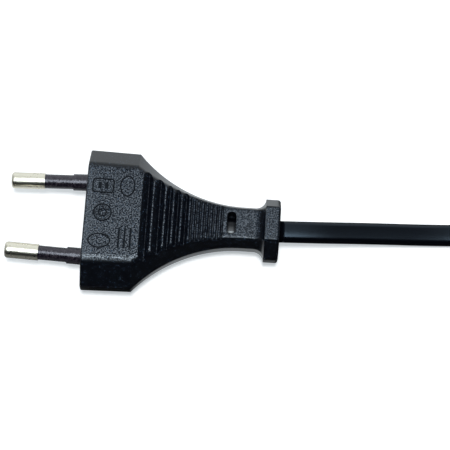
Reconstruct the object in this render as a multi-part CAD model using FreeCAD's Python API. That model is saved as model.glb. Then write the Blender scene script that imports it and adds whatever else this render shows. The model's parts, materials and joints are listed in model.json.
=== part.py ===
import FreeCAD, Part
import math
import os
from FreeCAD import Vector

# A europlug moulded on a flat two-core lead that ends in a two-pole appliance connector.
# Millimetres. The origin is on the engagement face, midway between the pins.
# +X runs back through the plug to its cord, +Y to the live pin's side, +Z up.

# Plug body
body_height = 13.7
front_width = 35.3
side_draft = 0.3
block_length = 12.3
wall_height = 3.0
front_bevel = 5.5
block_edge_round = 3.5
side_edge_round = 1.4
front_edge_round = 0.4
join_tolerance = 0.0001

# Flare from the block to the neck
neck_width = 10.4
neck_height = 9.6
neck_bevel = 1.37
neck_edge_round = 0.9
flare_length = 26.2
flare_reach = 36.0
bevel_fall = 1.25
slope_start = 18.0
slope_end = 36.0

# End flange
neck_end = 41.35
flange_width = 15.4
flange_bevel = 3.5
flange_length = 3.6
flange_edge_round = 0.7

# Ribs across both faces of the grip
rib_start = 13.45
rib_land = 0.3
groove_floor = 0.15
groove_skew = 0.56
wide_ribs = 2
wide_pitch = 2.95
wide_depth = 1.25
middle_ribs = 3
middle_pitch = 2.0
middle_depth = 0.9
fine_ribs = 8
fine_pitch = 1.06
fine_depth = 0.38

# Window over the cable
window_x = 35.65
window_width = 2.3
window_span = 5.8
window_web = 0.8

# Pins
pin_length = 19.0
pin_spacing = 19.0
tip_spacing = 17.8
pin_diameter = 4.0
pin_shank = 2.6
pin_grip = 3.2
pin_tip_round = 0.7
sleeve_length = 10.8
sleeve_diameter = 3.5
sleeve_root_length = 3.8
sleeve_root_diameter = 4.1
crimp_length = 5.0
crimp_depth = 4.5

# Pin carrier
carrier_front = 1.6
carrier_length = 6.0
carrier_width = 27.0
carrier_height = 7.0
carrier_seat = 1.0

# Cable and its cores
cable_width = 5.4
cable_thickness = 3.2
core_diameter = 2.2
core_spacing = 2.3
conductor_diameter = 1.1
core_bend = 3.6
core_knee = 2.7
sheath_end = 27.0

# Hank
turn_radius = 15.0
turn_pitch = 3.3
turns_wide = 3
layer_pitch = 5.45
layers = 2
hank_run = 48.0
hank_slack = 0.05
hank_x = 123.0
hank_y = -5.0
tie_width = 5.0
tie_thickness = 0.4

# Appliance connector
connector_x = 206.0
connector_y = 10.2
connector_width = 16.6
connector_height = 9.6
connector_round = 2.6
relief_length = 11.0
relief_width = 8.4
relief_height = 6.4
relief_growth = 1.6
shoulder_length = 3.0
grip_length = 11.0
nose_length = 10.5
nose_radius = 3.5
nose_width = 13.1
nose_waist = 6.2
contact_spacing = 8.6
contact_bore = 2.6
contact_diameter = 3.4
contact_length = 8.5
mouth_diameter = 3.0
mouth_depth = 1.2
insert_length = 5.0
insert_width = 14.0
insert_height = 7.0
barrel_diameter = 2.0
barrel_length = 3.4
relief_hold = 8.5

# Values that follow from the ones above
half_height = body_height / 2
wall_half = wall_height / 2
block_width = front_width - 2 * side_draft
floor_z = -half_height
pin_angle = math.degrees(math.asin((pin_spacing - tip_spacing) / 2 / pin_length))
fillet_radius = (flange_width - neck_width) / 2
flange_start = neck_end + fillet_radius
flange_end = flange_start + flange_length
carrier_back = carrier_front + carrier_length
crimp_end = carrier_back + crimp_length
crimp_start = crimp_end - crimp_depth
shoulder = carrier_front + carrier_seat
flare_drop = (block_width - neck_width) / 2 / (1 - math.sqrt(1 - (flare_length / flare_reach) ** 2))
flare_end = block_length + flare_length
outer_radius = turn_radius + turn_pitch * (turns_wide - 1)
entry_y = hank_y + outer_radius - (cable_width - cable_thickness) / 2
hank_bottom = floor_z + tie_thickness
hank_height = layer_pitch * layers
low_layer = hank_bottom + layer_pitch / 2
high_layer = hank_bottom + hank_height - layer_pitch / 2
connector_z = floor_z + connector_height / 2
grip_start = relief_length + shoulder_length
grip_end = grip_start + grip_length
nose_end = grip_end + nose_length

# Route of the cable from the plug to the hank and from the hank to the connector
lead_route = [
    (flange_end, 0.0, 0.0),
    (58.0, 0.0, 0.0),
    (72.0, 1.9, -3.4),
    (95.0, 3.7, floor_z + cable_thickness / 2),
    (hank_x - 9.0, entry_y - 0.9, low_layer - 0.6),
    (hank_x + 5.0, entry_y, low_layer),
]
tail_route = [
    (hank_x + hank_run - 9.0, entry_y, high_layer),
    (hank_x + hank_run + 4.0, entry_y, high_layer - 0.1),
    (connector_x - 16.0, connector_y + 1.4, connector_z + 2.65),
    (connector_x - 8.0, connector_y, connector_z + 0.45),
    (connector_x, connector_y, connector_z),
]


def rounded_wire(points, radii):
    """Closed wire through points, each corner rounded by its own radius."""
    edges = []
    count = len(points)
    last = None
    first = None
    for i in range(count):
        corner = points[i]
        into = (corner - points[i - 1]).normalize()
        out = (points[(i + 1) % count] - corner).normalize()
        turn = into.getAngle(out)
        reach = radii[i] * math.tan(turn / 2)
        start = corner - into * reach
        end = corner + out * reach
        inward = (out - into).normalize()
        middle = corner + inward * (radii[i] / math.cos(turn / 2) - radii[i])
        if last is None:
            first = start
        else:
            edges.append(Part.LineSegment(last, start).toShape())
        edges.append(Part.Arc(start, middle, end).toShape())
        last = end
    edges.append(Part.LineSegment(last, first).toShape())
    return Part.Wire(edges)


def octagon(x, half_width, bevel, half_top, top_round):
    """Section of the plug body across X: side walls, bevels and two flats."""
    flat = half_width - bevel
    quarter = [(half_width, wall_half), (flat, half_top)]
    points = [Vector(x, y, z) for y, z in quarter]
    points += [Vector(x, -y, z) for y, z in reversed(quarter)]
    points += [Vector(x, -y, -z) for y, z in quarter]
    points += [Vector(x, y, -z) for y, z in reversed(quarter)]
    radii = [side_edge_round, top_round, top_round, side_edge_round] * 2
    return rounded_wire(points, radii)


def flare_half_width(x):
    """Half width of the grip: a concave elliptical arc that runs out at the neck."""
    reach = max(flare_end - x, 0.0) / flare_reach
    return neck_width / 2 + flare_drop * (1 - math.sqrt(1 - reach * reach))


def grip_half_height(x):
    """Half height of the grip: level at first, then an even slope down to the neck."""
    share = min(max((x - slope_start) / (slope_end - slope_start), 0.0), 1.0)
    ease = share * share * (3 - 2 * share)
    return half_height + (neck_height / 2 - half_height) * ease


def grip_section(x):
    half_width = flare_half_width(x)
    share = (half_width - neck_width / 2) / ((block_width - neck_width) / 2)
    share = min(max(share, 0.0), 1.0)
    bevel = neck_bevel + (front_bevel - neck_bevel) * share ** bevel_fall
    edge = neck_edge_round + (block_edge_round - neck_edge_round) * share
    return octagon(x, half_width, bevel, grip_half_height(x), edge)


def flat_faced(shape):
    """The same solid with each face that is flat held as a true plane."""
    faces = []
    for face in shape.Faces:
        if face.findPlane():
            u0, u1, v0, v1 = face.ParameterRange
            outward = face.normalAt((u0 + u1) / 2, (v0 + v1) / 2)
            face = Part.Face(face.findPlane(), face.OuterWire)
            if face.normalAt(0, 0).dot(outward) < 0:
                face.reverse()
        faces.append(face)
    return Part.makeSolid(Part.makeShell(faces))


def make_outer_body():
    front = octagon(0.0, front_width / 2, front_bevel, half_height, block_edge_round)
    back = octagon(block_length, block_width / 2, front_bevel, half_height, block_edge_round)
    block = flat_faced(Part.makeLoft([front, back], True, True))
    block = block.makeFillet(front_edge_round, [e for e in block.Edges if e.BoundBox.XMax < 0.001])
    start_angle = math.asin(flare_length / flare_reach)
    steps = 10
    stations = [flare_end - flare_reach * math.sin(start_angle * (1 - i / steps)) for i in range(steps + 1)]
    grip = Part.makeLoft([grip_section(x) for x in stations + [neck_end]], True, False)
    fillet_sections = []
    for i in range(6):
        angle = math.radians(18.0 * i)
        rise = 1 - math.cos(angle)
        fillet_sections.append(octagon(
            neck_end + fillet_radius * math.sin(angle),
            neck_width / 2 + (flange_width - neck_width) / 2 * rise,
            neck_bevel + (flange_bevel - neck_bevel) * rise,
            neck_height / 2 + (body_height - neck_height) / 2 * rise,
            neck_edge_round))
    fillet = Part.makeLoft(fillet_sections, True, False)
    flange_face = Part.Face(octagon(
        flange_start, flange_width / 2, flange_bevel, half_height, neck_edge_round))
    flange = flange_face.extrude(Vector(flange_length, 0, 0))
    flange = flange.makeFillet(
        flange_edge_round, [e for e in flange.Edges if e.BoundBox.XMin > flange_end - 0.001])
    return block.fuse([grip, fillet, flange], join_tolerance).removeSplitter()


def groove_prism(x0, x1, depth, side):
    """V groove across the grip between the crests at x0 and x1, on the upper or lower face."""
    left = x0 + rib_land / 2
    right = x1 - rib_land / 2
    middle = left + (right - left) * groove_skew
    bottom = grip_half_height(middle) - depth
    above = body_height
    profile = [
        (left, above), (left, grip_half_height(left)), (middle - groove_floor / 2, bottom),
        (middle + groove_floor / 2, bottom), (right, grip_half_height(right)), (right, above)]
    points = [Vector(x, -front_width, side * z) for x, z in profile]
    face = Part.Face(Part.makePolygon(points + points[:1]))
    return face.extrude(Vector(0, 2 * front_width, 0))


def make_grooves():
    grooves = []
    x = rib_start
    sets = [(wide_ribs, wide_pitch, wide_depth), (middle_ribs, middle_pitch, middle_depth),
            (fine_ribs, fine_pitch, fine_depth)]
    for count, pitch, depth in sets:
        for _ in range(round(count)):
            grooves += [groove_prism(x, x + pitch, depth, side) for side in (1, -1)]
            x += pitch
    return grooves


def stadium_face(x, width, height):
    """Flat-sided face with full round ends, across X."""
    straight = (width - height) / 2
    radius = height / 2
    edges = [
        Part.LineSegment(Vector(x, straight, -radius), Vector(x, -straight, -radius)).toShape(),
        Part.Arc(Vector(x, -straight, -radius), Vector(x, -width / 2, 0),
                 Vector(x, -straight, radius)).toShape(),
        Part.LineSegment(Vector(x, -straight, radius), Vector(x, straight, radius)).toShape(),
        Part.Arc(Vector(x, straight, radius), Vector(x, width / 2, 0),
                 Vector(x, straight, -radius)).toShape()]
    return Part.Face(Part.Wire(edges))


def upright_stadium(x0, x1, y, radius, z, height):
    """Upright prism with round ends at x0 and x1."""
    box = Part.makeBox(x1 - x0, 2 * radius, height, Vector(x0, y - radius, z))
    ends = [Part.makeCylinder(radius, height, Vector(x, y, z)) for x in (x0, x1)]
    return box.fuse(ends).removeSplitter()


def make_windows():
    half = (window_span - window_width) / 2
    windows = []
    for z in (window_web / 2, -window_web / 2 - body_height):
        box = Part.makeBox(window_width, 2 * half, body_height, Vector(window_x - window_width / 2, -half, z))
        ends = [Part.makeCylinder(window_width / 2, body_height, Vector(window_x, y, z)) for y in (-half, half)]
        windows.append(box.fuse(ends).removeSplitter())
    return windows


def turned(profile):
    """Solid of revolution about X from (x, radius) points."""
    points = [Vector(x, r, 0) for x, r in profile]
    face = Part.Face(Part.makePolygon(points + points[:1]))
    return face.revolve(Vector(0, 0, 0), Vector(1, 0, 0), 360)


def at_pin(shape, side):
    """Moves a shape made along X to the pin on one side, leaning in towards the tips."""
    placed = shape.copy()
    placed.rotate(Vector(0, 0, 0), Vector(0, 0, 1), side * pin_angle)
    placed.translate(Vector(0, side * pin_spacing / 2, 0))
    return placed


def make_pin():
    tip = -pin_length
    barrel = turned([
        (tip, 0), (tip, pin_diameter / 2), (-sleeve_length, pin_diameter / 2),
        (-sleeve_length, pin_shank / 2), (shoulder, pin_shank / 2),
        (shoulder, pin_grip / 2), (crimp_end, pin_grip / 2),
        (crimp_end, conductor_diameter / 2), (crimp_start, conductor_diameter / 2), (crimp_start, 0)])
    rim = [e for e in barrel.Edges if e.BoundBox.XMax < tip + 0.001 and e.Length > pin_diameter]
    return barrel.makeFillet(pin_tip_round, rim)


def make_sleeve():
    return turned([
        (shoulder, pin_shank / 2), (shoulder, sleeve_root_diameter / 2),
        (-sleeve_root_length, sleeve_root_diameter / 2), (-sleeve_root_length, sleeve_diameter / 2),
        (-sleeve_length, sleeve_diameter / 2), (-sleeve_length, pin_shank / 2)])


def make_carrier(inserts):
    bar = Part.makeBox(
        carrier_length, carrier_width, carrier_height,
        Vector(carrier_front, -carrier_width / 2, -carrier_height / 2))
    uprights = [e for e in bar.Edges if e.BoundBox.XLength > carrier_length / 2]
    return bar.makeFillet(side_edge_round, uprights).cut(inserts)


def bent_path(points, radius):
    """Wire of straight runs joined by tangent arcs of one radius."""
    edges = []
    start = points[0]
    for i in range(1, len(points) - 1):
        into = (points[i] - points[i - 1]).normalize()
        out = (points[i + 1] - points[i]).normalize()
        turn = into.getAngle(out)
        reach = radius * math.tan(turn / 2)
        first = points[i] - into * reach
        second = points[i] + out * reach
        inward = (out - into).normalize()
        middle = points[i] + inward * (radius / math.cos(turn / 2) - radius)
        edges.append(Part.LineSegment(start, first).toShape())
        edges.append(Part.Arc(first, middle, second).toShape())
        start = second
    edges.append(Part.LineSegment(start, points[-1]).toShape())
    return Part.Wire(edges)


def round_sweep(path, diameter):
    start = path.Edges[0]
    circle = Part.Circle(start.valueAt(start.FirstParameter), start.tangentAt(start.FirstParameter), diameter / 2)
    return path.makePipe(Part.Face(Part.Wire(circle.toShape())))


def make_core(start, heading, strip, end, end_run):
    """Core and conductor from a crimp to the end of the sheath, in their own insulation."""
    bare = start + heading * strip
    knee = bare + heading * core_knee
    meet = end - Vector(end_run, 0, 0)
    covered = bent_path([bare, knee, meet, end], core_bend)
    whole = bent_path([start, knee, meet, end], core_bend)
    conductor = round_sweep(whole, conductor_diameter)
    core = round_sweep(covered, core_diameter)
    return core.cut(conductor), conductor


def flat_sweep(name, route):
    """Flat cable along a route, every bend as wide as its two runs allow."""
    points = [Vector(*p) for p in route]
    edges = []
    start = points[0]
    for i in range(1, len(points) - 1):
        into = points[i] - points[i - 1]
        out = points[i + 1] - points[i]
        reach = 0.45 * min(into.Length, out.Length)
        into.normalize()
        out.normalize()
        turn = into.getAngle(out)
        radius = reach / math.tan(turn / 2)
        print("%s bend %d radius %.1f mm" % (name, i, radius))
        first = points[i] - into * reach
        second = points[i] + out * reach
        middle = points[i] + (out - into).normalize() * (radius / math.cos(turn / 2) - radius)
        edges.append(Part.LineSegment(start, first).toShape())
        edges.append(Part.Arc(first, middle, second).toShape())
        start = second
    edges.append(Part.LineSegment(start, points[-1]).toShape())
    path = Part.Wire(edges)
    section = stadium_face(0.0, cable_width, cable_thickness)
    section.translate(points[0])
    pipe = Part.BRepOffsetAPI.MakePipeShell(path)
    pipe.setBiNormalMode(Vector(0, 0, 1))
    pipe.add(section.OuterWire)
    pipe.build()
    pipe.makeSolid()
    tube = pipe.shape()
    print("%s length %.1f mm, volume %.4f of section times length" % (
        name, path.Length, tube.Volume / (section.Area * path.Length)))
    return tube


def make_hank(tubes):
    outside = outer_radius + cable_thickness / 2 + hank_slack
    inside = turn_radius - cable_thickness / 2 - hank_slack
    x1 = hank_x + hank_run
    ring = upright_stadium(hank_x, x1, hank_y, outside, hank_bottom, hank_height)
    hole = upright_stadium(hank_x, x1, hank_y, inside, hank_bottom, hank_height)
    return ring.cut([hole] + tubes), inside, outside


def make_ties(inside, outside):
    """Two flat bands, one round each side of the hank."""
    ties = []
    x = hank_x + hank_run / 2 - tie_width / 2
    for side in (1, -1):
        near = hank_y + side * inside
        far = hank_y + side * outside
        low = min(near, far)
        span = abs(far - near)
        inner = Part.makeBox(tie_width, span, hank_height, Vector(x, low, hank_bottom))
        outer = Part.makeBox(
            tie_width, span + 2 * tie_thickness, hank_height + 2 * tie_thickness,
            Vector(x, low - tie_thickness, hank_bottom - tie_thickness))
        corners = [e for e in outer.Edges if e.BoundBox.XLength > tie_width / 2]
        ties.append(outer.makeFillet(tie_thickness, corners).cut(inner))
    return Part.makeCompound(ties)


def rounded_rectangle(x, width, height, radius):
    points = [Vector(x, y * width / 2, z * height / 2) for y, z in ((1, 1), (-1, 1), (-1, -1), (1, -1))]
    return rounded_wire(points, [radius] * 4)


def make_connector_body():
    relief_back = rounded_rectangle(0.0, relief_width, relief_height, connector_round)
    relief_front = rounded_rectangle(
        relief_length, relief_width + relief_growth, relief_height + relief_growth, connector_round)
    grip_back = rounded_rectangle(grip_start, connector_width, connector_height, connector_round)
    grip_front = rounded_rectangle(grip_end, connector_width, connector_height, connector_round)
    relief = Part.makeLoft([relief_back, relief_front], True, True)
    shoulder = Part.makeLoft([relief_front, grip_back], True, True)
    grip = Part.makeLoft([grip_back, grip_front], True, True)
    grip = grip.makeFillet(
        front_edge_round, [e for e in grip.Edges if e.BoundBox.XMin > grip_end - 0.001])
    return relief.fuse([shoulder, grip]).removeSplitter()


def make_insert():
    """Rigid insert of the connector: a base held in the body and a figure-eight nose."""
    base = Part.makeBox(
        insert_length, insert_width, insert_height,
        Vector(grip_end - insert_length, -insert_width / 2, -insert_height / 2))
    lobe = nose_width / 2 - nose_radius
    lobes = [Part.makeCylinder(nose_radius, nose_length, Vector(grip_end, y, 0), Vector(1, 0, 0))
             for y in (lobe, -lobe)]
    waist = Part.makeBox(nose_length, 2 * lobe, nose_waist, Vector(grip_end, -lobe, -nose_waist / 2))
    return base.fuse(lobes + [waist]).removeSplitter()


def make_contact():
    """Contact tube with a crimp barrel behind it, along X."""
    front = nose_end - mouth_depth
    back = front - contact_length
    barrel_end = grip_end - insert_length - barrel_length
    wall = (contact_diameter - contact_bore) / 2
    return turned([
        (front, contact_bore / 2), (front, contact_diameter / 2), (back, contact_diameter / 2),
        (back, barrel_diameter / 2), (barrel_end, barrel_diameter / 2),
        (barrel_end, conductor_diameter / 2), (barrel_end + barrel_length, conductor_diameter / 2),
        (barrel_end + barrel_length, 0), (back + wall, 0), (back + wall, contact_bore / 2)])


def to_connector(shape):
    placed = shape.copy()
    placed.translate(Vector(connector_x, connector_y, connector_z))
    return placed


def save(name, shape):
    shape.exportStep("parts/%s.step" % name)
    print("%-28s solids %d valid %s volume %.1f" % (name, len(shape.Solids), shape.isValid(), shape.Volume))


os.makedirs("parts", exist_ok=True)
sides = {"live": 1, "neutral": -1}

pin_form = make_pin()
sleeve_form = make_sleeve()
pins = {}
sleeves = {}
cores = {}
conductors = {}
for name, side in sides.items():
    pins[name] = at_pin(pin_form, side)
    sleeves[name] = at_pin(sleeve_form, side)
    heading = Vector(math.cos(math.radians(pin_angle)), side * math.sin(math.radians(pin_angle)), 0)
    base = Vector(0, side * pin_spacing / 2, 0)
    cores[name], conductors[name] = make_core(
        base + heading * crimp_start, heading, crimp_depth,
        Vector(sheath_end, side * core_spacing / 2, 0), core_bend)
carrier = make_carrier(list(pins.values()) + list(sleeves.values()))
held_cable = stadium_face(sheath_end, cable_width, cable_thickness).extrude(
    Vector(flange_end - sheath_end, 0, 0))

held = [carrier, held_cable] + list(pins.values()) + list(sleeves.values())
held += list(cores.values()) + list(conductors.values())
body = make_outer_body()
print("outer body valid %s volume %.1f" % (body.isValid(), body.Volume))
body = body.cut(make_grooves())
body = body.cut(make_windows())
body = body.cut(held)

lead = flat_sweep("lead", lead_route)
tail = flat_sweep("tail", tail_route)
hank, hank_inside, hank_outside = make_hank([lead, tail])
ties = make_ties(hank_inside, hank_outside)

contact_form = make_contact()
contacts = {}
far_cores = {}
far_conductors = {}
barrel_back = grip_end - insert_length - barrel_length
mouths = []
for name, side in sides.items():
    offset = Vector(0, side * contact_spacing / 2, 0)
    contacts[name] = contact_form.copy()
    contacts[name].translate(offset)
    far_cores[name], far_conductors[name] = make_core(
        Vector(barrel_back + barrel_length, 0, 0) + offset, Vector(-1, 0, 0), barrel_length,
        Vector(relief_hold, side * core_spacing / 2, 0), -core_bend / 2)
    mouths.append(Part.makeCylinder(
        mouth_diameter / 2, mouth_depth, Vector(nose_end - mouth_depth, 0, 0) + offset, Vector(1, 0, 0)))
    mouths.append(Part.makeCylinder(
        contact_diameter / 2, contact_length, Vector(nose_end - mouth_depth - contact_length, 0, 0) + offset,
        Vector(1, 0, 0)))
insert = make_insert().cut(mouths + list(contacts.values()))
far_cable = stadium_face(0.0, cable_width, cable_thickness).extrude(Vector(relief_hold, 0, 0))
far_held = [make_insert(), far_cable] + list(contacts.values())
far_held += list(far_cores.values()) + list(far_conductors.values())
connector = make_connector_body().cut(far_held)

save("plug_body", body)
save("pin_carrier", carrier)
for name in sides:
    save(name + "_pin", pins[name])
    save(name + "_pin_sleeve", sleeves[name])
    save(name + "_core", cores[name])
    save(name + "_conductor", conductors[name])
save("cable_in_plug", held_cable)
save("cable_lead", lead)
save("cable_hank", hank)
save("cable_tail", tail)
save("hank_ties", ties)
save("connector_body", to_connector(connector))
save("contact_insert", to_connector(insert))
for name in sides:
    save("connector_" + name + "_contact", to_connector(contacts[name]))
    save("connector_" + name + "_core", to_connector(far_cores[name]))
    save("connector_" + name + "_conductor", to_connector(far_conductors[name]))
save("cable_in_connector", to_connector(far_cable))
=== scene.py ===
import json
import math
import bmesh
import bpy
from mathutils import Matrix, Vector

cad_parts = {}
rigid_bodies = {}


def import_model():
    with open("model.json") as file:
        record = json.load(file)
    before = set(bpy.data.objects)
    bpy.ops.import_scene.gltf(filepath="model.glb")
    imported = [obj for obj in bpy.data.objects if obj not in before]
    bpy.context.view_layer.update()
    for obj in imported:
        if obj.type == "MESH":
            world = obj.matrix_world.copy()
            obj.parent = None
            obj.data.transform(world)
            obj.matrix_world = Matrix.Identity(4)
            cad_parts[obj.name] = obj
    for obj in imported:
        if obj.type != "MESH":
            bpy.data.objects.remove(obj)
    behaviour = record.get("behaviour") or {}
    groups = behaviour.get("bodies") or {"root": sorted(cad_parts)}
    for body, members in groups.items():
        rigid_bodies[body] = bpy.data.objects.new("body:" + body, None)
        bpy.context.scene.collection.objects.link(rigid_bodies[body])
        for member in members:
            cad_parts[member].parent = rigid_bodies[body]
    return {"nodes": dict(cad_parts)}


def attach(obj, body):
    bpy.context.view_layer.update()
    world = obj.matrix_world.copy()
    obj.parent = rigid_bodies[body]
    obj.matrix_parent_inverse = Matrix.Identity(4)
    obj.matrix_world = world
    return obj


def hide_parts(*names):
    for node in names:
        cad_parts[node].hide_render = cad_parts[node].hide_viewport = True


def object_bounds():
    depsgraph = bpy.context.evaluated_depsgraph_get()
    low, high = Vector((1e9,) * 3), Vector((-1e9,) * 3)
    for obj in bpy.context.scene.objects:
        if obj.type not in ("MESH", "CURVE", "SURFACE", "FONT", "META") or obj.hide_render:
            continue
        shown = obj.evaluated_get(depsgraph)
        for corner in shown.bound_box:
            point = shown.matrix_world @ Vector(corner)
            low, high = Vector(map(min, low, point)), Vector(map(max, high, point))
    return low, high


for old in list(bpy.data.objects):
    bpy.data.objects.remove(old, do_unlink=True)
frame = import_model()
cadBox = [list(corner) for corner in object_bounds()]
nodes = frame["nodes"]
scene = bpy.context.scene
scene.view_settings.view_transform = "Standard"
floorZ = cadBox[0][2]
topZ = cadBox[1][2]
print("frame loaded, box", cadBox)

# Camera at the photograph's place: steep, slightly turned and tilted.
cameraSettings = {
    "target": (0.034112, 0.000859, 0.0), "distance": 0.427696, "azimuth": 0.662,
    "elevation": 72.696, "roll": 3.037, "lens": 139.571, "sensor": 36.0, "clipStart": 0.01,
}


def placeCamera(settings):
    azimuth = math.radians(settings["azimuth"])
    elevation = math.radians(settings["elevation"])
    roll = math.radians(settings["roll"])
    back = Vector((
        math.sin(azimuth) * math.cos(elevation), -math.cos(azimuth) * math.cos(elevation),
        math.sin(elevation)))
    right = Vector((0, 0, 1)).cross(back).normalized()
    up = back.cross(right)
    across = right * math.cos(roll) + up * math.sin(roll)
    upward = up * math.cos(roll) - right * math.sin(roll)
    data = bpy.data.cameras.new("photoCamera")
    data.lens = settings["lens"]
    data.sensor_width = settings["sensor"]
    data.clip_start = settings["clipStart"]
    camera = bpy.data.objects.new("photoCamera", data)
    scene.collection.objects.link(camera)
    spot = Vector(settings["target"]) + back * settings["distance"]
    turned = Matrix((across, upward, back)).transposed().to_4x4()
    camera.matrix_world = Matrix.Translation(spot) @ turned
    scene.camera = camera


placeCamera(cameraSettings)
print("camera placed")


def addObject(name, mesh):
    made = bpy.data.objects.new(name, mesh)
    scene.collection.objects.link(made)
    return made


def addNode(tree, kind, x, y, **values):
    made = tree.nodes.new(kind)
    made.location = (x, y)
    for key, value in values.items():
        setattr(made, key, value)
    return made


def setInputs(node, **values):
    for key, value in values.items():
        node.inputs[key.replace("_", " ")].default_value = value


def ramp(tree, source, x, y, span, levels, smooth=False):
    kind = "SMOOTHSTEP" if smooth else "LINEAR"
    made = addNode(tree, "ShaderNodeMapRange", x, y, interpolation_type=kind)
    setInputs(made, From_Min=span[0], From_Max=span[1], To_Min=levels[0], To_Max=levels[1])
    tree.links.new(source, made.inputs["Value"])
    return made.outputs["Result"]


def joined(tree, operation, first, second, x, y):
    made = addNode(tree, "ShaderNodeMath", x, y, operation=operation)
    tree.links.new(first, made.inputs[0])
    tree.links.new(second, made.inputs[1])
    return made.outputs["Value"]


# A mask drawn towards one level, by a share that changes over the surface.
def drawnTo(tree, source, level, share, x, y):
    made = addNode(tree, "ShaderNodeMix", x, y)
    made.inputs["B"].default_value = level
    tree.links.new(share, made.inputs["Factor"])
    tree.links.new(source, made.inputs["A"])
    return made.outputs["Result"]


def noise(tree, source, x, y, scale, detail, roughness):
    made = addNode(tree, "ShaderNodeTexNoise", x, y)
    setInputs(made, Scale=scale, Detail=detail, Roughness=roughness)
    tree.links.new(source, made.inputs["Vector"])
    return made.outputs["Fac"]


# The lead: out of the plug, down to the table, on edge into the hank's five turns and last run, and on
# to the connector.
cordSettings = {
    "length": 1.2, "width": 0.0054, "thickness": 0.0032, "sides": 28, "resolution": 10,
    "leadPoints": [
        (0.04745, 0.0, 0.0), (0.056, 0.00041, -0.00025), (0.070, 0.00182, -0.0026),
        (0.086, 0.00306, -0.00475), (0.099, 0.00392, -0.0048), (0.114, 0.0156, -0.0037)],
    "tailPoints": [
        (0.175, 0.0165, 0.00172), (0.190, 0.0116, 0.0006), (0.198, 0.0102, -0.0016),
        (0.206, 0.0102, -0.00205)],
    "leftX": 0.123, "rightX": 0.171, "middleY": -0.005, "low": -0.003725, "high": 0.001725,
    "runStart": 0.131, "runEnd": 0.163, "lastRunEnd": 0.160,
    "outer": 0.0216, "between": 0.0183, "inner": 0.015,
    "turnSteps": 6, "leftShift": 100, "rightShift": 170,  # degrees over which a turn changes its layer
    "edgeFrom": 0.093, "edgeTo": 0.118, "flatBefore": 0.034, "flatBy": 0.006,
}


def ease(value):
    value = min(max(value, 0.0), 1.0)
    return value * value * (3 - 2 * value)


def halfTurn(centreX, startAngle, radii, shift, z, settings):
    stepAngle = 180 / settings["turnSteps"]
    turn = []
    for step in range(settings["turnSteps"]):
        travelled = stepAngle * (step + 0.5)
        radius = radii[0] + (radii[1] - radii[0]) * ease(travelled / shift)
        radius /= math.cos(math.radians(stepAngle / 2))  # the spline cuts inside its control points
        angle = math.radians(startAngle - travelled)
        turn.append((
            centreX + radius * math.cos(angle), settings["middleY"] + radius * math.sin(angle), z))
    return turn


def hankPoints(settings):
    outer, between, inner = settings["outer"], settings["between"], settings["inner"]
    low, high, middle = settings["low"], settings["high"], settings["middleY"]
    start, end = settings["runStart"], settings["runEnd"]
    turns = [
        (outer, outer, between, low, low), (between, between, inner, low, low),
        (inner, inner, inner, low, high), (inner, between, between, high, high),
        (between, outer, outer, high, high)]
    points = []
    for there, back, following, first, second in turns:
        points += [(start, middle + there, first), (end, middle + there, first)]
        points += halfTurn(
            settings["rightX"], 90, (there, back), settings["rightShift"], first, settings)
        points += [(end, middle - back, first), (start, middle - back, second)]
        points += halfTurn(
            settings["leftX"], -90, (back, following), settings["leftShift"], second, settings)
    return points + [(start, middle + outer, high), (settings["lastRunEnd"], middle + outer, high)]


def splineLine(points, resolution):
    curve = bpy.data.curves.new("cordLine", "CURVE")
    curve.dimensions = "3D"
    spline = curve.splines.new("NURBS")
    spline.points.add(len(points) - 1)
    for control, place in zip(spline.points, points):
        control.co = (*place, 1.0)
    spline.order_u = 3
    spline.use_endpoint_u = True
    spline.resolution_u = resolution
    holder = addObject("cordLine", curve)
    bpy.context.view_layer.update()
    line = bpy.data.meshes.new_from_object(holder)
    path = [vertex.co.copy() for vertex in line.vertices]
    bpy.data.meshes.remove(line)
    bpy.data.objects.remove(holder)
    bpy.data.curves.remove(curve)
    return path


def flatCord(name, path, settings):
    travelled = [0.0]
    for before, after in zip(path, path[1:]):
        travelled.append(travelled[-1] + (after - before).length)
    total = travelled[-1]
    edgeFrom = next(s for p, s in zip(path, travelled) if p.x > settings["edgeFrom"])
    edgeTo = next(s for p, s in zip(path, travelled) if p.x > settings["edgeTo"])
    flatFrom = total - settings["flatBefore"]
    flatRun = settings["flatBefore"] - settings["flatBy"]
    halfRun = (settings["width"] - settings["thickness"]) / 2
    radius = settings["thickness"] / 2
    count = settings["sides"]
    outline = []
    for step in range(count):
        angle = 2 * math.pi * (step + 0.5) / count
        wide = math.copysign(halfRun, math.cos(angle)) + radius * math.cos(angle)
        outline.append((wide, radius * math.sin(angle)))
    form = bmesh.new()
    uvLayer = form.loops.layers.uv.new("cordUv")
    rings = []
    for index, place in enumerate(path):
        before = path[max(index - 1, 0)]
        after = path[min(index + 1, len(path) - 1)]
        along = (after - before).normalized()
        side = Vector((0, 0, 1)).cross(along).normalized()
        upward = along.cross(side)
        # Flat at both ends, and on edge in the hank.
        reached = travelled[index]
        twist = ease((reached - edgeFrom) / (edgeTo - edgeFrom)) - ease((reached - flatFrom) / flatRun)
        angle = math.radians(90) * twist
        wide = side * math.cos(angle) + upward * math.sin(angle)
        thin = upward * math.cos(angle) - side * math.sin(angle)
        rings.append([form.verts.new(place + wide * a + thin * b) for a, b in outline])
    for index in range(len(rings) - 1):
        first, second = rings[index], rings[index + 1]
        for step in range(count):
            other = (step + 1) % count
            face = form.faces.new((first[step], first[other], second[other], second[step]))
            face.smooth = True
            ends = ((step, index), (step + 1, index), (step + 1, index + 1), (step, index + 1))
            for loop, (around, station) in zip(face.loops, ends):
                loop[uvLayer].uv = (around / count, travelled[station])
    form.faces.new(list(reversed(rings[0])))
    form.faces.new(rings[-1])
    bmesh.ops.recalc_face_normals(form, faces=form.faces)
    mesh = bpy.data.meshes.new(name)
    form.to_mesh(mesh)
    form.free()
    return addObject(name, mesh), total


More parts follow.
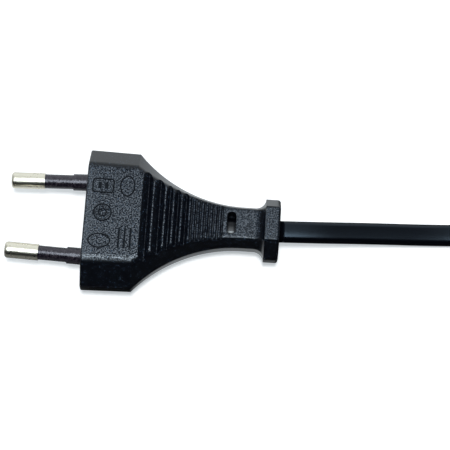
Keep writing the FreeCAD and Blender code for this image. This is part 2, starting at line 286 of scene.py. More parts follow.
cordRoute = cordSettings["leadPoints"] + hankPoints(cordSettings) + cordSettings["tailPoints"]
cordPath = splineLine(cordRoute, cordSettings["resolution"])
cord, cordLength = flatCord("cordFlat", cordPath, cordSettings)
print("cord built, %d points, %.3f m" % (len(cordPath), cordLength))


# Marks that the mould leaves on the top panel: a date dial, two plain ovals, a bare frame with two
# studs, and bars.
markSettings = {
    "width": 0.00042, "height": 0.00009, "sink": 0.00006, "crestShare": 0.45,
    "ringSteps": 40, "rings": [
        ((0.0044, 0.0000), (0.0021, 0.0021)), ((0.0044, 0.0000), (0.0009, 0.0009)),
        ((0.0100, 0.0070), (0.0017, 0.0025)), ((0.0041, -0.0071), (0.0026, 0.0017))],
    "frameSpot": (0.0041, 0.0068), "frameSize": (0.0050, 0.0034), "frameRound": 0.0006, "roundSteps": 5,
    "tickCount": 12, "tickRadius": 0.0015, "tickSize": (0.0006, 0.0002),
    "barCount": 3, "barGap": 0.0014, "barSize": (0.0005, 0.0052), "barSpot": (0.0088, -0.0062),
    "studCount": 2, "studGap": 0.0016, "studSize": (0.0008, 0.0016), "studSpot": (0.0033, 0.0068),
}


def addRidge(form, points, settings):
    half = settings["width"] / 2
    crestHalf = half * settings["crestShare"]
    base = topZ - settings["sink"]
    crest = topZ + settings["height"]
    section = ((half, base), (crestHalf, crest), (-crestHalf, crest), (-half, base))
    rows = []
    for index, (x, y) in enumerate(points):
        before, after = points[index - 1], points[(index + 1) % len(points)]
        along = Vector((after[0] - before[0], after[1] - before[1], 0)).normalized()
        side = Vector((-along.y, along.x, 0))
        spot = Vector((x, y, 0))
        rows.append([form.verts.new(spot + side * out + Vector((0, 0, z))) for out, z in section])
    for first, second in zip(rows, rows[1:] + rows[:1]):
        for step in range(len(section)):
            other = (step + 1) % len(section)
            form.faces.new((first[step], first[other], second[other], second[step]))


def ovalPoints(spot, radii, count):
    turns = [2 * math.pi * step / count for step in range(count)]
    return [(spot[0] + radii[0] * math.cos(turn), spot[1] + radii[1] * math.sin(turn)) for turn in turns]


def framePoints(settings):
    spot, size = settings["frameSpot"], settings["frameSize"]
    rounding, steps = settings["frameRound"], settings["roundSteps"]
    points = []
    for cornerX, cornerY, start in ((1, 1, 0), (-1, 1, 90), (-1, -1, 180), (1, -1, 270)):
        centreX = spot[0] + cornerX * (size[0] / 2 - rounding)
        centreY = spot[1] + cornerY * (size[1] / 2 - rounding)
        for step in range(steps + 1):
            angle = math.radians(start + 90 * step / steps)
            points.append((centreX + rounding * math.cos(angle), centreY + rounding * math.sin(angle)))
    return points


# Geometry Nodes tree that repeats one bar in a row, or around a ring when it has a radius.
def barTree(finish):
    tree = bpy.data.node_groups.new("repeatBars", "GeometryNodeTree")
    sockets = {}
    for name, kind in (("Count", "Int"), ("Gap", "Float"), ("Radius", "Float"), ("Size", "Vector")):
        made = tree.interface.new_socket(name, in_out="INPUT", socket_type="NodeSocket" + kind)
        sockets[name] = made.identifier
    tree.interface.new_socket("Geometry", in_out="OUTPUT", socket_type="NodeSocketGeometry")
    into = addNode(tree, "NodeGroupInput", -800, 0)
    out = addNode(tree, "NodeGroupOutput", 800, 0)
    step = addNode(tree, "ShaderNodeCombineXYZ", -600, 200)
    row = addNode(tree, "GeometryNodeMeshLine", -400, 250, mode="OFFSET")
    ring = addNode(tree, "GeometryNodeMeshCircle", -400, 0)
    isRing = addNode(tree, "FunctionNodeCompare", -400, 450, operation="GREATER_THAN")
    choice = addNode(tree, "GeometryNodeSwitch", -150, 200, input_type="GEOMETRY")
    bar = addNode(tree, "GeometryNodeMeshCube", -150, -100)
    index = addNode(tree, "GeometryNodeInputIndex", -800, -350)
    share = addNode(tree, "ShaderNodeMath", -600, -350, operation="DIVIDE")
    turn = addNode(tree, "ShaderNodeMath", -400, -350, operation="MULTIPLY")
    turn.inputs[1].default_value = 2 * math.pi
    onlyRing = addNode(tree, "ShaderNodeMath", -250, -450, operation="MULTIPLY")
    heading = addNode(tree, "ShaderNodeCombineXYZ", -100, -350)
    copies = addNode(tree, "GeometryNodeInstanceOnPoints", 150, 0)
    real = addNode(tree, "GeometryNodeRealizeInstances", 350, 0)
    painted = addNode(tree, "GeometryNodeSetMaterial", 550, 0)
    painted.inputs["Material"].default_value = finish
    for source, target in (
            (into.outputs["Gap"], step.inputs["X"]),
            (into.outputs["Count"], row.inputs["Count"]),
            (step.outputs["Vector"], row.inputs["Offset"]),
            (into.outputs["Count"], ring.inputs["Vertices"]),
            (into.outputs["Radius"], ring.inputs["Radius"]),
            (into.outputs["Radius"], isRing.inputs["A"]),
            (isRing.outputs["Result"], choice.inputs["Switch"]),
            (row.outputs["Mesh"], choice.inputs["False"]),
            (ring.outputs["Mesh"], choice.inputs["True"]),
            (into.outputs["Size"], bar.inputs["Size"]),
            (index.outputs["Index"], share.inputs[0]),
            (into.outputs["Count"], share.inputs[1]),
            (share.outputs["Value"], turn.inputs[0]),
            (turn.outputs["Value"], onlyRing.inputs[0]),
            (isRing.outputs["Result"], onlyRing.inputs[1]),
            (onlyRing.outputs["Value"], heading.inputs["Z"]),
            (choice.outputs["Output"], copies.inputs["Points"]),
            (bar.outputs["Mesh"], copies.inputs["Instance"]),
            (heading.outputs["Vector"], copies.inputs["Rotation"]),
            (copies.outputs["Instances"], real.inputs["Geometry"]),
            (real.outputs["Geometry"], painted.inputs["Geometry"]),
            (painted.outputs["Geometry"], out.inputs["Geometry"])):
        tree.links.new(source, target)
    return tree, sockets


def addBars(form, tree, sockets, spot, values):
    holder = addObject("barHolder", bpy.data.meshes.new("barHolder"))
    modifier = holder.modifiers.new("bars", "NODES")
    modifier.node_group = tree
    for name, value in values.items():
        modifier[sockets[name]] = value
    bpy.context.view_layer.update()
    evaluated = holder.evaluated_get(bpy.context.evaluated_depsgraph_get())
    made = bpy.data.meshes.new_from_object(evaluated)
    made.transform(Matrix.Translation((*spot, topZ)))
    form.from_mesh(made)
    holder.modifiers.remove(modifier)
    bpy.data.objects.remove(holder)


def makeMarks(settings, finish):
    form = bmesh.new()
    for spot, radii in settings["rings"]:
        addRidge(form, ovalPoints(spot, radii, settings["ringSteps"]), settings)
    addRidge(form, framePoints(settings), settings)
    tree, sockets = barTree(finish)
    thickness = 2 * settings["height"]
    addBars(form, tree, sockets, settings["rings"][0][0], {
        "Count": settings["tickCount"], "Gap": 0.0, "Radius": settings["tickRadius"],
        "Size": (*settings["tickSize"], thickness)})
    for name in ("bar", "stud"):
        addBars(form, tree, sockets, settings[name + "Spot"], {
            "Count": settings[name + "Count"], "Gap": settings[name + "Gap"], "Radius": 0.0,
            "Size": (*settings[name + "Size"], thickness)})
    bmesh.ops.recalc_face_normals(form, faces=form.faces)
    mesh = bpy.data.meshes.new("mouldMarks")
    form.to_mesh(mesh)
    form.free()
    mesh.materials.clear()  # puts the bars' faces back on the first slot
    mesh.materials.append(finish)
    return addObject("mouldMarks", mesh)


# Shared grain of a spark-eroded mould: a height, flecks that shine more or less, and a few sparse specks
# that the grip body colours bright as painted glints.
grainSettings = {
    "detail": 2.0, "roughness": 0.65, "fleckSpan": (0.42, 0.66),
    "speckShift": (31.0, 17.0, 53.0), "speckDetail": 1.0, "speckRoughness": 0.5, "speckSpan": (0.66, 0.74),
}


def grainGroup(settings):
    group = bpy.data.node_groups.new("mouldGrain", "ShaderNodeTree")
    group.interface.new_socket("Vector", in_out="INPUT", socket_type="NodeSocketVector")
    group.interface.new_socket("Scale", in_out="INPUT", socket_type="NodeSocketFloat")
    for name in ("Height", "Fleck", "Speck"):
        group.interface.new_socket(name, in_out="OUTPUT", socket_type="NodeSocketFloat")
    into = addNode(group, "NodeGroupInput", -900, 0)
    out = addNode(group, "NodeGroupOutput", 300, 0)
    coarse = addNode(group, "ShaderNodeTexNoise", -500, 150)
    setInputs(coarse, Detail=settings["detail"], Roughness=settings["roughness"])
    shift = addNode(group, "ShaderNodeVectorMath", -700, -200, operation="ADD")
    shift.inputs[1].default_value = settings["speckShift"]
    sparse = addNode(group, "ShaderNodeTexNoise", -500, -200)
    setInputs(sparse, Detail=settings["speckDetail"], Roughness=settings["speckRoughness"])
    group.links.new(into.outputs["Vector"], coarse.inputs["Vector"])
    group.links.new(into.outputs["Vector"], shift.inputs[0])
    group.links.new(shift.outputs["Vector"], sparse.inputs["Vector"])
    for texture in (coarse, sparse):
        group.links.new(into.outputs["Scale"], texture.inputs["Scale"])
    fleck = ramp(group, coarse.outputs["Fac"], -200, 0, settings["fleckSpan"], (0.0, 1.0), True)
    speck = ramp(group, sparse.outputs["Fac"], -200, -250, settings["speckSpan"], (0.0, 1.0))
    group.links.new(coarse.outputs["Fac"], out.inputs["Height"])
    group.links.new(fleck, out.inputs["Fleck"])
    group.links.new(speck, out.inputs["Speck"])
    return group


mouldGrain = grainGroup(grainSettings)


# A new material, with Object coordinates in millimetres.
def startMaterial(name):
    material = bpy.data.materials.new(name)
    material.use_nodes = True
    tree = material.node_tree
    shader = tree.nodes["Principled BSDF"]
    coords = addNode(tree, "ShaderNodeTexCoord", -1500, 0)
    millimetres = addNode(tree, "ShaderNodeMapping", -1300, 0)
    millimetres.inputs["Scale"].default_value = (1000, 1000, 1000)
    tree.links.new(coords.outputs["Object"], millimetres.inputs["Vector"])
    return material, tree, shader, millimetres.outputs["Vector"]


def setGloss(shader, settings):
    setInputs(
        shader, Roughness=settings["roughness"], Specular_IOR_Level=settings["shine"],
        Specular_Tint=(*settings["tint"], 1))


def setCoat(shader, settings):
    setInputs(shader, Coat_IOR=settings["coatIor"], Coat_Roughness=settings["coatRoughness"])


# Colour between the dark and the pale shade of a finish.
def paint(tree, shader, mask, settings):
    colours = addNode(tree, "ShaderNodeMix", -300, 250, data_type="RGBA")
    colours.inputs["A"].default_value = (*settings["dark"], 1)
    colours.inputs["B"].default_value = (*settings["pale"], 1)
    tree.links.new(mask, colours.inputs["Factor"])
    tree.links.new(colours.outputs["Result"], shader.inputs["Base Color"])


def emboss(tree, shader, height, settings):
    bump = addNode(tree, "ShaderNodeBump", -300, -200)
    setInputs(bump, Distance=settings["depth"], Strength=settings["strength"])
    tree.links.new(height, bump.inputs["Height"])
    tree.links.new(bump.outputs["Normal"], shader.inputs["Normal"])


def placeGrain(tree, place, scale):
    grain = addNode(tree, "ShaderNodeGroup", -1000, 100, node_tree=mouldGrain)
    grain.inputs["Scale"].default_value = scale
    tree.links.new(place, grain.inputs["Vector"])
    return grain.outputs


def mouldedPlastic(name, changes):
    settings = {"tint": (1.0, 1.0, 1.0), "shine": 0.5, **changes}
    material, tree, shader, place = startMaterial(name)
    setGloss(shader, settings)
    grain = placeGrain(tree, place, settings["scale"])
    paint(tree, shader, grain["Fleck"], settings)
    emboss(tree, shader, grain["Height"], settings)
    return material


# Level faces carry the mould's full grain, evener on the neck and paler and glossier along the front edge.
# Rib valleys get painted shade: less pale fleck colour and less coat below the crests. Steep faces are
# polished, bevels most and rib sides least; the weaker coat on rib sides is painted shade too.
def gripPlastic(name, settings):
    material, tree, shader, place = startMaterial(name)
    setGloss(shader, settings)
    setCoat(shader, settings)
    grain = placeGrain(tree, place, settings["scale"])
    facing = addNode(tree, "ShaderNodeNewGeometry", -1000, -300)
    normal = addNode(tree, "ShaderNodeSeparateXYZ", -800, -300)
    tree.links.new(facing.outputs["Normal"], normal.inputs["Vector"])
    upward = joined(tree, "MULTIPLY", normal.outputs["Z"], normal.outputs["Z"], -600, -300)
    leaning = joined(tree, "MULTIPLY", normal.outputs["Y"], normal.outputs["Y"], -600, -450)
    level = ramp(tree, upward, -400, -300, settings["steepToLevel"], (settings["steepGrain"], 1.0))
    spot = addNode(tree, "ShaderNodeSeparateXYZ", -1000, -600)
    tree.links.new(place, spot.inputs["Vector"])
    along = spot.outputs["X"]

    # Painted shade: below the crests the fleck colour and the coat fade to a lower level in the rib
    # valleys.
    crest = ramp(tree, along, -800, -500, settings["slope"], settings["crests"], True)
    away = addNode(tree, "ShaderNodeMath", -800, -750, operation="ABSOLUTE")
    tree.links.new(spot.outputs["Z"], away.inputs[0])
    sunk = joined(tree, "SUBTRACT", crest, away.outputs["Value"], -600, -600)
    paintedValleyShade = ramp(tree, sunk, -400, -600, settings["valleys"], (1.0, settings["valleyShadeLevel"]))
    onNeck = ramp(tree, along, -600, -900, settings["evenBy"], (0.0, settings["evenShare"]))
    even = drawnTo(tree, grain["Fleck"], settings["evenFleck"], onNeck, -400, -800)
    # Towards the front edge the flecks are drawn paler, so the grain there is lighter and its coat
    # stronger.
    atFront = ramp(tree, along, -600, -1100, settings["frontBy"], (1.0, 0.0))
    frontPaling = ramp(tree, atFront, -450, -1100, (0.0, 1.0), (0.0, settings["frontShare"]))
    frontPaled = drawnTo(tree, even, settings["frontFleck"], frontPaling, -300, -1000)
    lit = joined(tree, "MULTIPLY", frontPaled, paintedValleyShade, -200, -600)

    # Faces that lean neither forward nor back, such as rib sides, get the weaker coat, as painted shade in
    # the ribs.
    ribless = joined(tree, "MAXIMUM", leaning, atFront, -400, -450)
    polished = ramp(tree, ribless, -200, -450, settings["ribToBevel"], settings["steepCoat"])
    rounded = ramp(tree, upward, -200, -300, settings["bevelToRound"], (1.0, settings["roundShare"]))
    coat = addNode(tree, "ShaderNodeMix", 0, -500)
    tree.links.new(level, coat.inputs["Factor"])
    tree.links.new(joined(tree, "MULTIPLY", polished, rounded, -100, -400), coat.inputs["A"])
    tree.links.new(lit, coat.inputs["B"])
    tree.links.new(coat.outputs["Result"], shader.inputs["Coat Weight"])

    # Base colour: pale flecks on level faces and sparse pale specks, partly grain tone and partly painted
    # glints.
    onLevel = joined(tree, "MULTIPLY", lit, level, -800, 150)
    grainAndGlintFlecks = ramp(tree, onLevel, -600, 150, (0.0, 1.0), (0.0, settings["grainAndGlintFlecks"]))
    paintedGlintSpecks = ramp(tree, grain["Speck"], -600, 400, (0.0, 1.0), (0.0, settings["paintedGlintSpecks"]))
    paint(tree, shader, joined(tree, "MAXIMUM", grainAndGlintFlecks, paintedGlintSpecks, -450, 250), settings)
    height = joined(tree, "MULTIPLY", grain["Height"], level, -450, -150)
    emboss(tree, shader, height, settings)
    return material


# Fine rings from turning, and a faint mottle in the plating.
def wornMetal(name, changes):
    settings = {
        "ringWander": 0.6, "ringDetail": 2.0, "ringDetailScale": 1.5, "mottleDetail": 4.0,
        "mottleRoughness": 0.6, "mottleSpan": (0.3, 0.7), "depth": 0.00001, **changes}
    material, tree, shader, place = startMaterial(name)
    setInputs(shader, Metallic=1.0)
    rings = addNode(tree, "ShaderNodeTexWave", -900, -150, wave_type="BANDS", bands_direction="X")
    setInputs(
        rings, Scale=settings["rings"], Distortion=settings["ringWander"], Detail=settings["ringDetail"],
        Detail_Scale=settings["ringDetailScale"])
    tree.links.new(place, rings.inputs["Vector"])
    mottle = noise(
        tree, place, -900, 200, settings["mottle"], settings["mottleDetail"], settings["mottleRoughness"])
    paint(tree, shader, mottle, settings)
    rough = ramp(
        tree, mottle, -300, 0, settings["mottleSpan"], (settings["smooth"], settings["rough"]))
    tree.links.new(rough, shader.inputs["Roughness"])
    emboss(tree, shader, rings.outputs["Fac"], settings)
    return material


# Draw lines from the extruder run along the sheath, over a faint orange peel.
def cordSkin(name, settings):
    material, tree, shader, place = startMaterial(name)
    setGloss(shader, settings)
    uv = addNode(tree, "ShaderNodeUVMap", -1200, 300, uv_map="cordUv")
    stretch = addNode(tree, "ShaderNodeMapping", -1000, 300)
    stretch.inputs["Scale"].default_value = settings["drawStretch"]
    tree.links.new(uv.outputs["UV"], stretch.inputs["Vector"])
    draw = noise(tree, stretch.outputs["Vector"], -800, 300, *settings["draw"])
    peel = noise(tree, place, -800, 0, *settings["peel"])
    paint(tree, shader, draw, settings)
    emboss(tree, shader, joined(tree, "ADD", draw, peel, -500, 0), settings)
    return material


# The sheath where the window shows it: a painted highlight close to the window's near end, fading towards
# the far end, with painted shade along the window's walls and at the near rim.
def windowSkin(name, settings):
    material, tree, shader, place = startMaterial(name)
    setGloss(shader, settings)
    setCoat(shader, settings)
    fromEnd = addNode(tree, "ShaderNodeVectorMath", -1100, -200, operation="SUBTRACT")
    fromEnd.inputs[1].default_value = settings["highlightAt"]
    tree.links.new(place, fromEnd.inputs[0])
    offset = addNode(tree, "ShaderNodeSeparateXYZ", -900, -200)
    tree.links.new(fromEnd.outputs["Vector"], offset.inputs["Vector"])
    nearer = addNode(tree, "ShaderNodeMath", -700, -300, operation="MINIMUM")
    nearer.inputs[1].default_value = 0.0
    tree.links.new(offset.outputs["Y"], nearer.inputs[0])
    across = addNode(tree, "ShaderNodeCombineXYZ", -500, -200)
    tree.links.new(offset.outputs["X"], across.inputs["X"])
    tree.links.new(nearer.outputs["Value"], across.inputs["Y"])
    reach = addNode(tree, "ShaderNodeVectorMath", -350, -200, operation="LENGTH")
    tree.links.new(across.outputs["Vector"], reach.inputs[0])
    # Painted highlight in the coat weight: full near the given spot, falling off across to the walls and
    # back to the near rim.
    paintedHighlight = ramp(tree, reach.outputs["Value"], -200, -200, settings["highlightReach"], (1.0, 0.0))
    fading = ramp(tree, offset.outputs["Y"], -500, -450, settings["fadeBy"], settings["fade"])
    tree.links.new(joined(tree, "MULTIPLY", paintedHighlight, fading, 0, -300), shader.inputs["Coat Weight"])
    paint(tree, shader, noise(tree, place, -800, 200, *settings["peel"]), settings)
    return material


def wovenTape(name, settings):
    material, tree, shader, place = startMaterial(name)
    setInputs(shader, Roughness=settings["roughness"])
    threads = []
    for thread, direction, y in (("warp", "X", 200), ("weft", "DIAGONAL", -100)):
        wave = addNode(tree, "ShaderNodeTexWave", -900, y, wave_type="BANDS", bands_direction=direction)
        setInputs(wave, Scale=settings[thread], Distortion=settings["wander"])
        tree.links.new(place, wave.inputs["Vector"])
        threads.append(wave.outputs["Fac"])
    weave = joined(tree, "MULTIPLY", *threads, -600, 50)
    paint(tree, shader, weave, settings)
    emboss(tree, shader, weave, settings)
    return material


# Scales are per millimetre; depths are in metres. Draw and peel are scale, detail and roughness.
# The body's pale shade is a bright blue that partly stands in for glints: the flecks and specks it colours
# are grain and painted glints.
bodyPvc = gripPlastic("bodyPvc", {
    "dark": (0.0010, 0.0015, 0.0034), "pale": (0.070, 0.115, 0.180), "roughness": 0.30, "shine": 0.06,
    "tint": (0.80, 0.91, 1.0), "coatIor": 2.0, "coatRoughness": 0.30, "steepCoat": (0.16, 0.56),
    "grainAndGlintFlecks": 0.40, "paintedGlintSpecks": 0.8, "scale": 3.2, "depth": 0.00004, "strength": 0.8,
    "steepToLevel": (0.80, 0.96), "steepGrain": 0.05, "ribToBevel": (0.0, 0.10),
    "bevelToRound": (0.52, 0.72), "roundShare": 0.35,
    "frontBy": (1.0, 3.5), "frontFleck": 1.0, "frontShare": 0.17,
    "evenBy": (28.0, 36.0), "evenFleck": 0.26, "evenShare": 0.40,
    "slope": (18.0, 36.0), "crests": (6.85, 4.8), "valleys": (0.15, 0.60), "valleyShadeLevel": 0.3})
markPvc = mouldedPlastic("markPvc", {
    "dark": (0.0010, 0.0014, 0.0030), "pale": (0.003, 0.004, 0.007), "roughness": 0.28, "shine": 0.15,
    "tint": (0.80, 0.91, 1.0), "scale": 3.0, "depth": 0.00001, "strength": 0.1})
sleevePvc = mouldedPlastic("sleevePvc", {
    "dark": (0.005, 0.004, 0.009), "pale": (0.027, 0.023, 0.031), "roughness": 0.23, "shine": 0.80,
    "tint": (0.97, 0.93, 1.0), "scale": 1.6, "depth": 0.00010, "strength": 0.65})
connectorPvc = mouldedPlastic("connectorPvc", {
    "dark": (0.0020, 0.0025, 0.0045), "pale": (0.0085, 0.0100, 0.0140), "roughness": 0.38,
    "tint": (0.85, 0.93, 1.0), "scale": 2.2, "depth": 0.00006, "strength": 0.45})
insertPlastic = mouldedPlastic("insertPlastic", {
    "dark": (0.012, 0.012, 0.014), "pale": (0.026, 0.026, 0.029), "roughness": 0.34,
    "scale": 3.0, "depth": 0.00003, "strength": 0.3})
carrierPlastic = mouldedPlastic("carrierPlastic", {
    "dark": (0.42, 0.40, 0.35), "pale": (0.52, 0.50, 0.44), "roughness": 0.45,
    "scale": 1.4, "depth": 0.00003, "strength": 0.4})
brownCore = mouldedPlastic("brownCore", {
    "dark": (0.10, 0.045, 0.020), "pale": (0.14, 0.065, 0.030), "roughness": 0.4,
    "scale": 2.0, "depth": 0.00002, "strength": 0.3})
blueCore = mouldedPlastic("blueCore", {
    "dark": (0.020, 0.070, 0.30), "pale": (0.035, 0.10, 0.38), "roughness": 0.4,
    "scale": 2.0, "depth": 0.00002, "strength": 0.3})
nickel = wornMetal("nickel", {
    "dark": (0.83, 0.77, 0.63), "pale": (0.95, 0.91, 0.77), "smooth": 0.26, "rough": 0.32,
    "rings": 4.0, "mottle": 0.9, "strength": 0.004})
copper = wornMetal("copper", {
    "dark": (0.68, 0.32, 0.18), "pale": (0.86, 0.46, 0.28), "smooth": 0.22, "rough": 0.38,
    "rings": 3.0, "mottle": 1.4, "strength": 0.5})
brass = wornMetal("brass", {
    "dark": (0.62, 0.46, 0.18), "pale": (0.80, 0.62, 0.28), "smooth": 0.18, "rough": 0.32,
    "rings": 3.0, "mottle": 1.2, "strength": 0.3})
sheath = cordSkin("sheath", {
    "dark": (0.0008, 0.0010, 0.0020), "pale": (0.0018, 0.0022, 0.0040), "roughness": 0.24,
    "shine": 0.39, "tint": (0.64, 0.82, 1.0), "depth": 0.00004, "strength": 0.20,
    "drawStretch": (60, 40, 1), "draw": (1.0, 3.0, 0.6), "peel": (1.6, 3.0, 0.55)})
windowSheath = windowSkin("windowSheath", {
    "dark": (0.0008, 0.0010, 0.0020), "pale": (0.0018, 0.0022, 0.0040), "roughness": 0.30,
    "shine": 0.08, "tint": (0.88, 0.94, 1.0), "coatIor": 2.0, "coatRoughness": 0.25,
    "highlightAt": (35.65, -0.85, 0.0), "highlightReach": (0.35, 1.0), "fadeBy": (-0.5, 1.2), "fade": (1.0, 0.12),
    "peel": (1.6, 3.0, 0.55)})
tieTape = wovenTape("tieTape", {
    "dark": (0.010, 0.010, 0.012), "pale": (0.045, 0.045, 0.050), "roughness": 0.85,
    "warp": 1.6, "weft": 1.3, "wander": 0.8, "depth": 0.00008, "strength": 0.6})
print("materials built")

marks = makeMarks(markSettings, markPvc)
print("mould marks built")

finishes = {
    "plug_body": bodyPvc, "pin_carrier": carrierPlastic, "live_pin": nickel, "neutral_pin": nickel,
    "live_pin_sleeve": sleevePvc, "neutral_pin_sleeve": sleevePvc, "live_core": brownCore,
    "neutral_core": blueCore, "live_conductor": copper, "neutral_conductor": copper,
    "cable_in_plug": windowSheath, "hank_ties": tieTape, "connector_body": connectorPvc,
    "contact_insert": insertPlastic, "connector_live_contact": brass, "connector_neutral_contact": brass,
    "connector_live_core": brownCore, "connector_neutral_core": blueCore,
    "connector_live_conductor": copper, "connector_neutral_conductor": copper,
    "cable_in_connector": sheath,
}
for name, finish in finishes.items():
    nodes[name].material_slots[0].material = finish
cord.data.materials.append(sheath)

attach(cord, "root")
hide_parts("cable_lead", "cable_hank", "cable_tail")
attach(marks, "root")
print("pieces declared")

# White table. In reflections it is dark, with painted glowing patches behind the plug, beside the pins and
# along the near edge, which paint reflections on the plug's lower faces.
skyColour = (0.90, 0.96, 1.0)
tableSettings = {
    "size": 6.0, "colour": 0.7, "mirrored": 0.02, "glow": 0.50,
    "behind": 1.0, "behindFrom": (0.012, 0.040), "far": 0.6, "farFrom": (0.044, 0.060),
    "beside": 0.75, "besideFrom": (0.002, -0.004), "besideAway": (-0.012, 0.0), "besideNear": 0.2,
    "before": 0.8, "beforeStarts": (0.0125, 0.0145), "beforeStops": (0.0470, 0.0485),
    "edgeBetween": (0.013, 0.030), "edgeAt": (-0.0180, -0.0098), "edgeSoft": 0.001,
}


# Painted glowing patches on the table, seen only in reflections: behind the plug, beside the pins and in a
# strip that follows the plug's near edge.
def paintedReflectionGlow(tree, settings):
    coords = addNode(tree, "ShaderNodeTexCoord", -1800, -400)
    split = addNode(tree, "ShaderNodeSeparateXYZ", -1600, -400)
    tree.links.new(coords.outputs["Object"], split.inputs["Vector"])
    x, y = split.outputs["X"], split.outputs["Y"]

    behind = ramp(tree, y, -1400, 0, settings["behindFrom"], (0.0, settings["behind"]))
    fading = ramp(
        tree, y, -1400, -250, settings["farFrom"], (settings["behind"], settings["far"]), True)
    back = joined(tree, "MINIMUM", behind, fading, -1000, -100)

    byPins = ramp(tree, x, -1400, -500, settings["besideFrom"], (0.0, settings["beside"]))
    farther = ramp(tree, y, -1600, -600, settings["besideAway"], (settings["besideNear"], 1.0))
    beside = joined(tree, "MULTIPLY", byPins, farther, -1200, -500)

    edge = ramp(tree, x, -1400, -750, settings["edgeBetween"], settings["edgeAt"])
    beyond = joined(tree, "SUBTRACT", y, edge, -1200, -700)
    inside = ramp(tree, beyond, -1000, -700, (0.0, settings["edgeSoft"]), (0.0, 1.0))
    starts = ramp(tree, x, -1400, -1000, settings["beforeStarts"], (0.0, settings["before"]))
    stops = ramp(tree, x, -1400, -1250, settings["beforeStops"], (1.0, 0.0))
    along = joined(tree, "MULTIPLY", starts, stops, -1200, -1050)
    before = joined(tree, "MULTIPLY", inside, along, -800, -900)

    sides = joined(tree, "MAXIMUM", beside, before, -600, -700)
    return joined(tree, "MAXIMUM", back, sides, -400, -400)


def makeTable(settings):
    half = settings["size"] / 2
    mesh = bpy.data.meshes.new("tableTop")
    mesh.from_pydata(
        [(-half, -half, floorZ), (half, -half, floorZ), (half, half, floorZ), (-half, half, floorZ)],
        [], [(0, 1, 2, 3)])
    table = addObject("tableTop", mesh)
    material = bpy.data.materials.new("tableWhite")
    material.use_nodes = True
    tree = material.node_tree
    tree.nodes.clear()
    out = addNode(tree, "ShaderNodeOutputMaterial", 400, 0)
    total = addNode(tree, "ShaderNodeAddShader", 200, 0)
    diffuse = addNode(tree, "ShaderNodeBsdfDiffuse", 0, 100)
    glow = addNode(tree, "ShaderNodeEmission", 0, -100)
    glow.inputs["Color"].default_value = (*skyColour, 1)
    rays = addNode(tree, "ShaderNodeLightPath", -1000, 300)
    # The camera sees the table white; reflections see it dark apart from the painted glowing patches.
    mirrored = joined(
        tree, "MAXIMUM", rays.outputs["Is Glossy Ray"], rays.outputs["Is Transmission Ray"], -800, 250)
    shown = joined(tree, "MULTIPLY", mirrored, paintedReflectionGlow(tree, settings), -200, -200)
    white = ramp(tree, rays.outputs["Is Camera Ray"], -600, 100, (0.0, 1.0), (0.0, settings["glow"]))
    level = joined(tree, "ADD", white, shown, -100, -100)
    dimmed = ramp(tree, mirrored, -600, 350, (0.0, 1.0), (settings["colour"], settings["mirrored"]))
    tree.links.new(dimmed, diffuse.inputs["Color"])
    tree.links.new(level, glow.inputs["Strength"])
    tree.links.new(diffuse.outputs["BSDF"], total.inputs[0])
    tree.links.new(glow.outputs["Emission"], total.inputs[1])
    tree.links.new(total.outputs["Shader"], out.inputs["Surface"])
    mesh.materials.append(material)


# The small key lights and shades everything; the softbox is only what surfaces mirror.
lampSettings = {
    "distance": 1.0,
    "key": {"size": (0.16, 0.16), "tilt": 7.6, "power": 7.6, "colour": (1.0, 1.0, 1.0)},
    "box": {"size": (0.50, 0.60), "tilt": 9.0, "power": 5.2, "colour": (0.82, 0.93, 1.0)},
}


def addLamp(name, settings, distance):
    data = bpy.data.lights.new(name, "AREA")
    data.shape = "RECTANGLE"
    data.size, data.size_y = settings["size"]
    data.energy = settings["power"]
    data.color = settings["colour"]
    tilt = math.radians(settings["tilt"])
    lamp = bpy.data.objects.new(name, data)
    scene.collection.objects.link(lamp)
    away = Vector((0, -math.sin(tilt), math.cos(tilt)))
    lamp.location = Vector(cameraSettings["target"]) + away * distance
    lamp.rotation_euler = (tilt, 0, 0)
    return lamp


def addLamps(settings):
    addLamp("key", settings["key"], settings["distance"]).visible_glossy = False
    addLamp("box", settings["box"], settings["distance"]).visible_diffuse = False


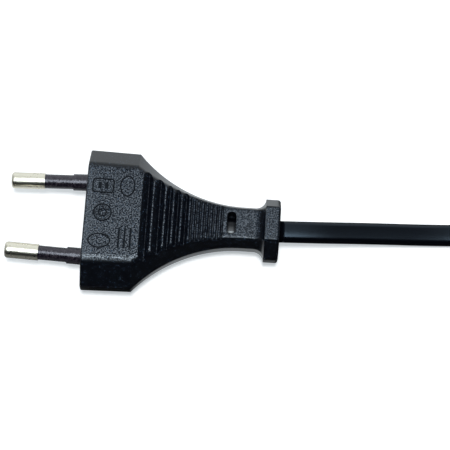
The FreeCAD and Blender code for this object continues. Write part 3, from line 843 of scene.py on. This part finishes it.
# A strip light overhead that runs back to a white backdrop, pale sides, and a dark room in front.
skySettings = {
    "front": 0.003, "top": 0.05, "frontToTop": (-0.45, -0.15), "back": 0.95, "backFrom": (0.55, 0.80),
    "strip": 1.12, "stripFrom": (-0.10, 0.05), "far": 0.95, "stripToFar": (0.35, 0.60),
    "stripEdge": (0.07, 0.015),
    "sides": 0.6, "sidesAbove": (0.2, 0.5), "sidesBehind": (-0.5, -0.2), "sidesBeyond": (0.10, 0.22),
}


def makeSky(settings):
    world = bpy.data.worlds.new("studio")
    scene.world = world
    world.use_nodes = True
    tree = world.node_tree
    glow = tree.nodes["Background"]
    glow.inputs["Color"].default_value = (*skyColour, 1)
    coords = addNode(tree, "ShaderNodeTexCoord", -1100, 0)
    split = addNode(tree, "ShaderNodeSeparateXYZ", -900, 0)
    tree.links.new(coords.outputs["Generated"], split.inputs["Vector"])
    x, y, z = split.outputs["X"], split.outputs["Y"], split.outputs["Z"]
    sideways = joined(tree, "MULTIPLY", x, x, -700, -600)

    front = ramp(
        tree, y, -600, 300, settings["frontToTop"], (settings["front"], settings["top"]), True)
    back = ramp(tree, y, -600, 0, settings["backFrom"], (0.0, settings["back"]), True)

    starts = ramp(tree, y, -800, -300, settings["stripFrom"], (0.0, settings["strip"]), True)
    fades = ramp(
        tree, y, -800, -450, settings["stripToFar"], (settings["strip"], settings["far"]), True)
    along = joined(tree, "MINIMUM", starts, fades, -600, -300)
    narrow = ramp(tree, sideways, -500, -600, settings["stripEdge"], (0.0, 1.0), True)
    strip = joined(tree, "MULTIPLY", along, narrow, -300, -400)

    high = ramp(tree, z, -700, -900, settings["sidesAbove"], (0.0, settings["sides"]))
    beyond = ramp(tree, y, -700, -1100, settings["sidesBehind"], (0.0, 1.0))
    outside = ramp(tree, sideways, -500, -800, settings["sidesBeyond"], (0.0, 1.0))
    raised = joined(tree, "MULTIPLY", high, beyond, -450, -1000)
    sides = joined(tree, "MULTIPLY", raised, outside, -300, -800)

    overhead = joined(tree, "MAXIMUM", strip, sides, -250, -400)
    brighter = joined(tree, "MAXIMUM", back, overhead, -250, -150)
    tree.links.new(joined(tree, "MAXIMUM", front, brighter, -100, 0), glow.inputs["Strength"])


makeTable(tableSettings)
addLamps(lampSettings)
makeSky(skySettings)
print("stage built")
